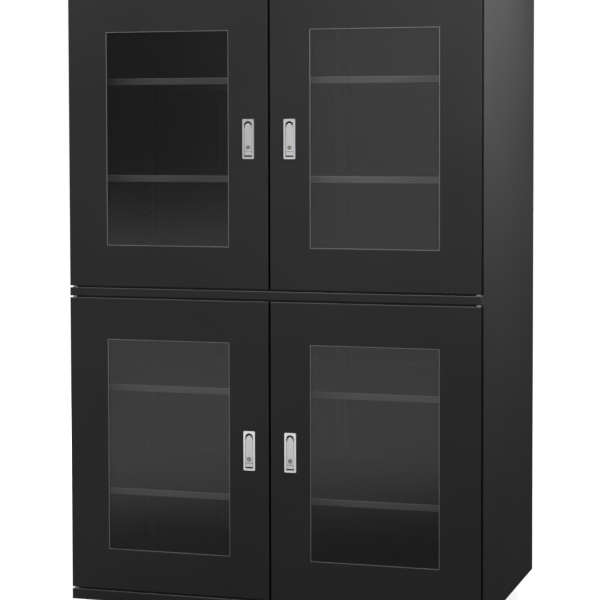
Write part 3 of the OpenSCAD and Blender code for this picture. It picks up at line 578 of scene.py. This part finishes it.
    def _sheet(self, loops: Sequence[Outline], y: float, depth: float, bevel: float) -> bmesh.types.BMesh:
        """Makes a flat piece that faces -Y, with its front rims bevelled.

        Args:
            loops: the outline, then any holes, as X and Z.
            y: depth of the front.
            depth: thickness along Y.
            bevel: width of the bevel.

        Returns:
            The mesh.
        """
        bm = bmesh.new()
        for loop in loops:
            verts = [bm.verts.new((x, y, z)) for x, z in loop]
            for first, second in zip(verts, verts[1:] + verts[:1]):
                bm.edges.new((first, second))
        bmesh.ops.triangle_fill(bm, edges=list(bm.edges), use_beauty=True)
        grown = bmesh.ops.extrude_face_region(bm, geom=list(bm.faces), use_keep_orig=True)["geom"]
        moved = [item for item in grown if isinstance(item, bmesh.types.BMVert)]
        bmesh.ops.translate(bm, verts=moved, vec=(0, depth, 0))
        bmesh.ops.recalc_face_normals(bm, faces=bm.faces)
        flat, sharp = 0.001 * MM, 1.0
        rims = [edge for edge in bm.edges if all(abs(vert.co.y - y) < flat for vert in edge.verts)
                and len(edge.link_faces) == 2 and edge.calc_face_angle(0.0) > sharp]
        self.shop.soften(bm, rims, bevel)
        return bm

    def _lever(self) -> None:
        """Makes the lever with its bevelled rim, its neck and the bore of the key cylinder."""
        low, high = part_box(f"lever_{self.tag}")
        key_low, key_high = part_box(f"key_cylinder_{self.tag}")
        mid = (low.x + high.x) / 2
        half, neck = self.lever_half, self.neck
        pivot = high.z - neck
        shoulder = pivot - self.shoulder
        steps = self.round_sides // 2
        arc = [(mid + neck * math.cos(math.pi * k / steps), pivot + neck * math.sin(math.pi * k / steps))
               for k in range(steps + 1)]
        left, right = mid - half, mid + half
        outline = [(left, low.z), (right, low.z), (right, shoulder), *arc, (left, shoulder)]
        bore = (key_high.x - key_low.x) / 2 + self.bore_clear
        hole = self._ring(mid, (key_low.z + key_high.z) / 2, bore)
        bm = self._sheet((outline, hole), low.y, high.y - low.y, self.rim_bevel)
        self.shop.disc(bm, (mid, (low.y + high.y) / 2, pivot), Axis.X, self.stub_radius, high.x - low.x,
                       self.stub_sides)
        self.shop.finish(bm, f"lever_grip_{self.tag}", f"lever_{self.tag}", self.shop.finishes.lever_plate,
                         replaces=f"lever_{self.tag}")

    def _key(self) -> None:
        """Makes the key cylinder with its collar, which is dark with painted shade, and its keyway, a dark
        block painted as the slot's shade.
        """
        body, finishes = f"key_cylinder_{self.tag}", self.shop.finishes
        low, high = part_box(body)
        x, z = (low.x + high.x) / 2, (low.z + high.z) / 2
        radius = (high.x - low.x) / 2
        loops = [self._ring(x, z, r) for r in (radius, radius - self.collar_band)]
        bm = self._sheet(loops, low.y + self.collar_set, self.collar_depth, self.collar_bevel)
        # The collar carries the painted recess shade.
        self.shop.finish(bm, f"key_collar_{self.tag}", body, finishes.painted_recess_shade)
        bm = bmesh.new()
        front = low.y + self.core_set
        core = radius - self.collar_band + self.core_lap
        self.shop.disc(bm, (x, (front + high.y) / 2, z), Axis.Y, core, high.y - front, self.round_sides,
                       self.core_bevel)
        self.shop.finish(bm, f"key_core_{self.tag}", body, finishes.key_steel, replaces=body)
        bm = bmesh.new()
        wide, tall = self.keyway_half
        self.shop.block(bm, (x - wide, front - self.keyway_proud, z - tall),
                        (x + wide, front + self.keyway_depth, z + tall))
        # The keyway is a dark block painted as the shade inside the key slot.
        self.shop.finish(bm, f"keyway_{self.tag}", body, finishes.keyway)

    def _button(self) -> None:
        """Makes the release button with its soft edges."""
        low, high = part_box(f"button_{self.tag}")
        bm = bmesh.new()
        self.shop.block(bm, low, high, self.rim_bevel)
        self.shop.finish(bm, f"button_cap_{self.tag}", f"button_{self.tag}", self.shop.finishes.lever_plate,
                         replaces=f"button_{self.tag}")


@dataclass
class Body:
    """The folded steel body with its rails, shelves and fittings.

    Attributes:
        shop: where its pieces are made.
        edge: how deep a face may lie and still count as an outer one.
        screw_radius: radius of the back screws' heads.
        screw_proud: height of their heads.
        screw_inset: distance of the screws from the side panels' outer faces.
        screw_bevel: bevel of their heads.
        screw_sides: sides of their heads.
        screw_heights: heights of the screws.
        shelf_tops: heights of the shelves' upper faces.
        highlight_inset: distance of the painted highlight strips from the shelves' ends.
        highlight_band: height of a painted highlight strip.
        highlight_proud: how far a painted highlight strip stands out.
        highlight_bevel: bevel of a painted highlight strip.
    """

    shop: Workshop
    edge: float = 1 * MM
    screw_radius: float = 4 * MM
    screw_proud: float = 1.6 * MM
    screw_inset: float = 10 * MM
    screw_bevel: float = 0.6 * MM
    screw_sides: int = 20
    screw_heights: tuple[float, ...] = (0.12, 0.42, 0.72, 1.02, 1.32, 1.62, 1.88)
    shelf_tops: tuple[float, ...] = (0.3975, 0.6975, 0.9975, 1.2975, 1.5725)
    highlight_inset: float = 2 * MM
    highlight_band: float = 1.8 * MM
    highlight_proud: float = 0.1 * MM
    highlight_bevel: float = 0.4 * MM

    def build(self) -> None:
        """Dresses the body and makes its screws."""
        finishes = self.shop.finishes
        finishes.dress(["side_left", "side_right", "back_panel", "top_box", "base_pan"], finishes.side_coat)
        finishes.dress(["front_rails", "header"], finishes.front_coat)
        finishes.dress(["front_frame", "floor_panel", "uprights", "dry_unit"], finishes.inner_coat)
        finishes.dress(["shelves", "shelf_clips"], finishes.shelf_coat)
        finishes.dress(["caster_plates"], finishes.zinc)
        finishes.dress(["hinge_pins"], finishes.pin_steel)
        finishes.dress(["control_panel", "power_inlet"], finishes.plastic)
        finishes.dress(["display_window"], finishes.screen)
        self._rail_edges()
        self._lips()
        self._back_screws()

    def _rail_edges(self) -> None:
        """Gives the rails' ends the sides' finish and their upper faces a lighter coat, a painted highlight
        of light catching them.
        """
        finishes = self.shop.finishes
        low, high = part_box("front_rails")
        finishes.patch("front_rails", finishes.side_coat, lambda spot, normal: abs(normal.x) > FACING
                       and min(spot.x - low.x, high.x - spot.x) < self.edge)
        # Painted highlight on the rails' upward faces.
        finishes.patch("front_rails", finishes.upper_edge_highlight, lambda spot, normal: normal.z > FACING)

    def _lips(self) -> None:
        """Paints the shelves' front lips lighter, as painted light, and makes pale strips on their upper
        front edges, a painted highlight.
        """
        finishes = self.shop.finishes
        low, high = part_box("shelves")
        # Painted light on the lips' front faces.
        finishes.patch("shelves", finishes.lip_coat, lambda spot, normal: normal.y < -FACING
                       and spot.y < low.y + self.edge)
        left, right = low.x + self.highlight_inset, high.x - self.highlight_inset
        # Painted highlight strips along the shelves' upper front edges.
        bm = bmesh.new()
        for top in self.shelf_tops:
            self.shop.block(bm, (left, low.y - self.highlight_proud, top - self.highlight_band),
                            (right, low.y + self.edge, top + self.highlight_proud), self.highlight_bevel)
        self.shop.finish(bm, "shelf_edge_highlight_strips", "cabinet", finishes.shelf_edge_highlight)

    def _back_screws(self) -> None:
        """Makes the pan-head screws that hold the back panel to the side panels' rear flanges."""
        _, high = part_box("side_right")
        y = high.y - self.screw_proud / 2
        bm = bmesh.new()
        for x in (self.screw_inset - high.x, high.x - self.screw_inset):
            for height in self.screw_heights:
                self.shop.disc(bm, (x, y, height), Axis.Y, self.screw_radius, self.screw_proud,
                               self.screw_sides, self.screw_bevel)
        self.shop.finish(bm, "back_screws", "cabinet", self.shop.finishes.zinc)


@dataclass
class Readout:
    """The controller's lit figures.

    Attributes:
        shop: where its pieces are made.
        height: height of a figure.
        width_share: width of a figure as a share of its height.
        step_share: distance between figures as a share of their height.
        stroke: width of a bar.
        gap: space round each bar.
        inset: distance of the first figure from the screen's left edge.
        drop: distance of the figures from the screen's upper edge.
        near: distance of the bars' backs from the screen.
        far: distance of the bars' fronts from the screen.
        figures: what the screen shows.
    """

    shop: Workshop
    height: float = 20 * MM
    width_share: float = 0.5
    step_share: float = 0.72
    stroke: float = 2.2 * MM
    gap: float = 0.4 * MM
    inset: float = 12 * MM
    drop: float = 6 * MM
    near: float = 0.05 * MM
    far: float = 0.4 * MM
    figures: str = "28 24"

    SEGMENTS = {"2": "abged", "8": "abcdefg", "4": "fgbc", " ": ""}

    def build(self) -> None:
        """Makes the figures in front of the screen."""
        low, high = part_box("display_window")
        bm = bmesh.new()
        x, foot = low.x + self.inset, high.z - self.drop - self.height
        for figure in self.figures:
            for segment in self.SEGMENTS[figure]:
                self._segment(bm, segment, x, foot, low.y)
            x += self.height * self.step_share
        self.shop.finish(bm, "readout_digits", "cabinet", self.shop.finishes.digits)

    def _segment(self, bm: bmesh.types.BMesh, name: str, x: float, z: float, y: float) -> None:
        """Adds one bar of a seven-bar figure.

        Args:
            bm: the mesh to add to.
            name: the bar, from a at the top round to f, with g across the middle.
            x: left edge of the figure.
            z: bottom edge of the figure.
            y: depth of the screen's front.
        """
        width, half, bar, gap = self.height * self.width_share, self.height / 2, self.stroke, self.gap
        right = x + width - bar
        spots = {"a": (x, z + 2 * half - bar, width, bar), "d": (x, z, width, bar),
                 "g": (x, z + half - bar / 2, width, bar), "f": (x, z + half, bar, half),
                 "b": (right, z + half, bar, half), "e": (x, z, bar, half), "c": (right, z, bar, half)}
        left, foot, wide, tall = spots[name]
        self.shop.block(bm, (left + gap, y + self.near, foot + gap),
                        (left + wide - gap, y + self.far, foot + tall - gap))


@dataclass
class Casters:
    """The four swivel casters.

    Attributes:
        shop: where their pieces are made.
        plate_half: half of a caster plate's side.
        bolt_reach: distance of the bolts from the plate's middle along X and Y.
        plate_t: thickness of a plate.
        bolt_radius: radius across a bolt head's corners.
        bolt_height: height of a bolt's head.
        bolt_sides: sides of a bolt's head.
        bolt_bevel: bevel of a bolt's head.
    """

    shop: Workshop
    plate_half: float = 31 * MM
    bolt_reach: float = 23 * MM
    plate_t: float = 3 * MM
    bolt_radius: float = 5.5 * MM
    bolt_height: float = 4 * MM
    bolt_sides: int = 6
    bolt_bevel: float = 0.5 * MM

    def build(self) -> None:
        """Dresses the casters and makes their bolts."""
        finishes = self.shop.finishes
        for end in ("front", "rear"):
            for side in ("left", "right"):
                finishes.dress([f"fork_{end}_{side}"], finishes.zinc)
                finishes.dress([f"wheel_{end}_{side}"], finishes.wheel)
        finishes.dress(["brake_front_left", "brake_front_right"], finishes.pedal)
        self._bolts()

    def _bolts(self) -> None:
        """Makes the hexagon bolts that hold the caster plates."""
        low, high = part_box("caster_plates")
        z = high.z - self.plate_t - self.bolt_height / 2
        bm = bmesh.new()
        for x in (low.x + self.plate_half, high.x - self.plate_half):
            for y in (low.y + self.plate_half, high.y - self.plate_half):
                for sx in (-self.bolt_reach, self.bolt_reach):
                    for sy in (-self.bolt_reach, self.bolt_reach):
                        self.shop.disc(bm, (x + sx, y + sy, z), Axis.Z, self.bolt_radius, self.bolt_height,
                                       self.bolt_sides, self.bolt_bevel)
        self.shop.finish(bm, "caster_bolts", "cabinet", self.shop.finishes.zinc)


@dataclass(frozen=True)
class Lamp:
    """A square soft lamp.

    Attributes:
        name: the lamp's name.
        place: where it hangs.
        target: the point that it faces.
        size: width of its face.
        power: its power in watts.
        spread: angle of its beam in degrees.
        in_gloss: whether gloss shows it.
    """

    name: str
    place: Triple
    target: Triple
    size: float
    power: float
    spread: float = 180.0
    in_gloss: bool = True

    def hang(self) -> None:
        """Adds the lamp to the scene."""
        data = bpy.data.lights.new(self.name, "AREA")
        data.size = self.size
        data.energy = self.power
        data.spread = math.radians(self.spread)
        lamp = bpy.data.objects.new(self.name, data)
        lamp.location = self.place
        aim = Vector(self.target) - Vector(self.place)
        lamp.rotation_euler = aim.to_track_quat("-Z", "Y").to_euler()
        lamp.visible_glossy = self.in_gloss
        bpy.context.scene.collection.objects.link(lamp)


@dataclass(frozen=True)
class Card:
    """A dull card in front of the object, which only gloss shows.

    Attributes:
        name: the card's name.
        place: its centre.
        size: its width and length.
        shade: how light its grey is.
        tilt: its turn about X, where a right angle stands it up.
        turn: its turn about Z.
    """

    name: str
    place: Triple
    size: tuple[float, float]
    shade: float
    tilt: float = 0.0
    turn: float = 0.0

    def stand(self) -> None:
        """Adds the card to the scene."""
        bm = bmesh.new()
        bmesh.ops.create_grid(bm, x_segments=1, y_segments=1, size=0.5)
        turn = Matrix.Rotation(self.turn, 4, "Z") @ Matrix.Rotation(self.tilt, 4, "X")
        place = Matrix.Translation(self.place) @ turn @ Matrix.Diagonal((*self.size, 1.0, 1.0))
        bmesh.ops.transform(bm, matrix=place, verts=bm.verts)
        data = bpy.data.meshes.new(self.name)
        bm.to_mesh(data)
        bm.free()
        mat = bpy.data.materials.new(self.name)
        mat.use_nodes = True
        shader = mat.node_tree.nodes["Principled BSDF"]
        shader.inputs["Base Color"].default_value = (self.shade, self.shade, self.shade, 1)
        shader.inputs["Specular IOR Level"].default_value = 0.0
        data.materials.append(mat)
        card = bpy.data.objects.new(self.name, data)
        card.visible_camera = card.visible_diffuse = card.visible_shadow = card.visible_transmission = False
        bpy.context.scene.collection.objects.link(card)


@dataclass
class Studio:
    """The camera, lamps, world and floor.

    Attributes:
        position: the camera's place.
        yaw: its turn about Z.
        pitch: how far it looks down.
        focal_px: focal length in pixels of the picture.
        principal: the pixel that it looks straight at.
        picture: the picture's side in pixels.
        sensor: width of the camera's sensor in millimetres.
        reach: how far the camera sees.
        dome: strength of the world's light.
        dome_low: the light's share at the horizon and below.
        dome_full: height, as a share, at which the light is full.
        floor_half: half of the floor's side.
        floor_shade: how light the floor's grey is.
        floor_rough: roughness of the floor.
        floor_fade: the distances between which the floor turns white by itself.
        floor_glow: its glow at these distances.
    """

    position: Triple = (1.673, -5.0649, 1.3946)
    yaw: float = 0.26904
    pitch: float = 0.04344
    focal_px: float = 1813.2
    principal: tuple[float, float] = (400.0, 220.0)
    picture: float = 600.0
    sensor: float = 36.0
    reach: float = 60.0
    dome: float = 0.26
    dome_low: float = 0.1
    dome_full: float = 0.9
    floor_half: float = 30.0
    floor_shade: float = 0.36
    floor_rough: float = 0.9
    floor_fade: tuple[float, float] = (0.9, 2.8)
    floor_glow: tuple[float, float] = (0.72, 1.0)

    LAMPS = (Lamp("key", (-0.3, -4.2, 2.3), (0, 0, 0.9), 3.0, 64.0, in_gloss=False),
             Lamp("top", (1.5, -0.7, 2.65), (0.4, 0.0, 1.5), 0.9, 25.0, spread=90.0),
             Lamp("rear", (-2.3, 3.0, 2.5), (0, 0, 1.0), 2.5, 200.0),
             Lamp("top left", (-1.6, -1.3, 2.7), (-0.4, 0.0, 1.6), 0.9, 22.0))
    CARDS = (Card("card", (-1.9, -3.2, 1.885), (1.8, 1.73), 0.04, tilt=math.pi / 2),
             Card("low card", (0.1, -1.45, 0.02), (2.2, 2.1), 0.13, turn=-0.4))

    def build(self) -> None:
        """Sets up the whole studio."""
        self._camera()
        self._world()
        self._floor()
        for card in self.CARDS:
            card.stand()
        for lamp in self.LAMPS:
            lamp.hang()

    def _camera(self) -> None:
        """Makes the camera at the photograph's viewing angle."""
        data = bpy.data.cameras.new("camera")
        data.sensor_width = self.sensor
        data.lens = self.focal_px * self.sensor / self.picture
        data.shift_x = (self.picture / 2 - self.principal[0]) / self.picture
        data.shift_y = (self.principal[1] - self.picture / 2) / self.picture
        data.clip_end = self.reach
        camera = bpy.data.objects.new("camera", data)
        camera.location = self.position
        camera.rotation_euler = (math.pi / 2 - self.pitch, 0.0, self.yaw)
        bpy.context.scene.collection.objects.link(camera)
        bpy.context.scene.camera = camera

    def _seen(self, tree: bpy.types.NodeTree) -> bpy.types.NodeSocket:
        """Adds the nodes that tell a ray that looks at a surface from one that lights by it.

        Args:
            tree: the node tree to add to.

        Returns:
            The socket that is 1 for camera, glossy and transmission rays.
        """
        path = tree.nodes.new("ShaderNodeLightPath")
        either = tree.nodes.new("ShaderNodeMath")
        either.operation = "MAXIMUM"
        tree.links.new(path.outputs["Is Camera Ray"], either.inputs[0])
        tree.links.new(path.outputs["Is Transmission Ray"], either.inputs[1])
        seen = tree.nodes.new("ShaderNodeMath")
        seen.operation = "MAXIMUM"
        tree.links.new(either.outputs["Value"], seen.inputs[0])
        tree.links.new(path.outputs["Is Glossy Ray"], seen.inputs[1])
        return seen.outputs["Value"]

    def _world(self) -> None:
        """Makes a world that is white to look at and lights the object softly."""
        world = bpy.data.worlds.new("studio")
        world.use_nodes = True
        nodes, links = world.node_tree.nodes, world.node_tree.links
        back = nodes["Background"]
        back.inputs["Strength"].default_value = self.dome
        place = nodes.new("ShaderNodeTexCoord")
        split = nodes.new("ShaderNodeSeparateXYZ")
        links.new(place.outputs["Generated"], split.inputs["Vector"])
        dome = nodes.new("ShaderNodeValToRGB")
        low, full = dome.color_ramp.elements
        low.color = (self.dome_low, self.dome_low, self.dome_low, 1)
        full.position = self.dome_full
        full.color = (1, 1, 1, 1)
        links.new(split.outputs["Z"], dome.inputs["Fac"])
        links.new(dome.outputs["Color"], back.inputs["Color"])
        white = nodes.new("ShaderNodeBackground")
        white.inputs["Strength"].default_value = 1.0
        white.inputs["Color"].default_value = (1, 1, 1, 1)
        mix = nodes.new("ShaderNodeMixShader")
        links.new(self._seen(world.node_tree), mix.inputs["Fac"])
        links.new(back.outputs["Background"], mix.inputs[1])
        links.new(white.outputs["Background"], mix.inputs[2])
        links.new(mix.outputs["Shader"], nodes["World Output"].inputs["Surface"])
        bpy.context.scene.world = world

    def _floor(self) -> None:
        """Makes the pale floor, which keeps the object's shadow."""
        bm = bmesh.new()
        bmesh.ops.create_grid(bm, x_segments=2, y_segments=2, size=self.floor_half)
        data = bpy.data.meshes.new("floor")
        bm.to_mesh(data)
        bm.free()
        data.materials.append(self._floor_finish())
        floor = bpy.data.objects.new("floor", data)
        bpy.context.scene.collection.objects.link(floor)

    def _floor_finish(self) -> bpy.types.Material:
        """Makes the floor's finish, which turns white by itself away from the object.

        Returns:
            The new material.
        """
        mat = bpy.data.materials.new("floor")
        mat.use_nodes = True
        nodes, links = mat.node_tree.nodes, mat.node_tree.links
        shader = nodes["Principled BSDF"]
        shader.inputs["Roughness"].default_value = self.floor_rough
        shader.inputs["Specular IOR Level"].default_value = 0.0
        shader.inputs["Base Color"].default_value = (self.floor_shade, self.floor_shade, self.floor_shade, 1)
        place = nodes.new("ShaderNodeTexCoord")
        far = nodes.new("ShaderNodeVectorMath")
        far.operation = "LENGTH"
        links.new(place.outputs["Object"], far.inputs[0])
        fade = nodes.new("ShaderNodeMapRange")
        names = ("From Min", "From Max", "To Min", "To Max")
        for name, value in zip(names, (*self.floor_fade, *self.floor_glow)):
            fade.inputs[name].default_value = value
        links.new(far.outputs["Value"], fade.inputs["Value"])
        glow = nodes.new("ShaderNodeMath")
        glow.operation = "MULTIPLY"
        links.new(fade.outputs["Result"], glow.inputs[0])
        links.new(self._seen(mat.node_tree), glow.inputs[1])
        shader.inputs["Emission Color"].default_value = (1, 1, 1, 1)
        links.new(glow.outputs["Value"], shader.inputs["Emission Strength"])
        return mat


def main() -> None:
    """Builds the dressed cabinet and its studio."""
    logging.basicConfig(level=logging.INFO, format="%(name)s: %(message)s")
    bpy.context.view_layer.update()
    bpy.context.scene.view_settings.view_transform = "Standard"
    Studio().build()
    shop = Workshop(Finishes())
    Body(shop).build()
    for level in Level:
        for side in Side:
            Doorway(side, level, shop).build()
    Readout(shop).build()
    Casters(shop).build()
    LOG.info("%d pieces made", shop.count)


if __name__ == "__main__":
    main()
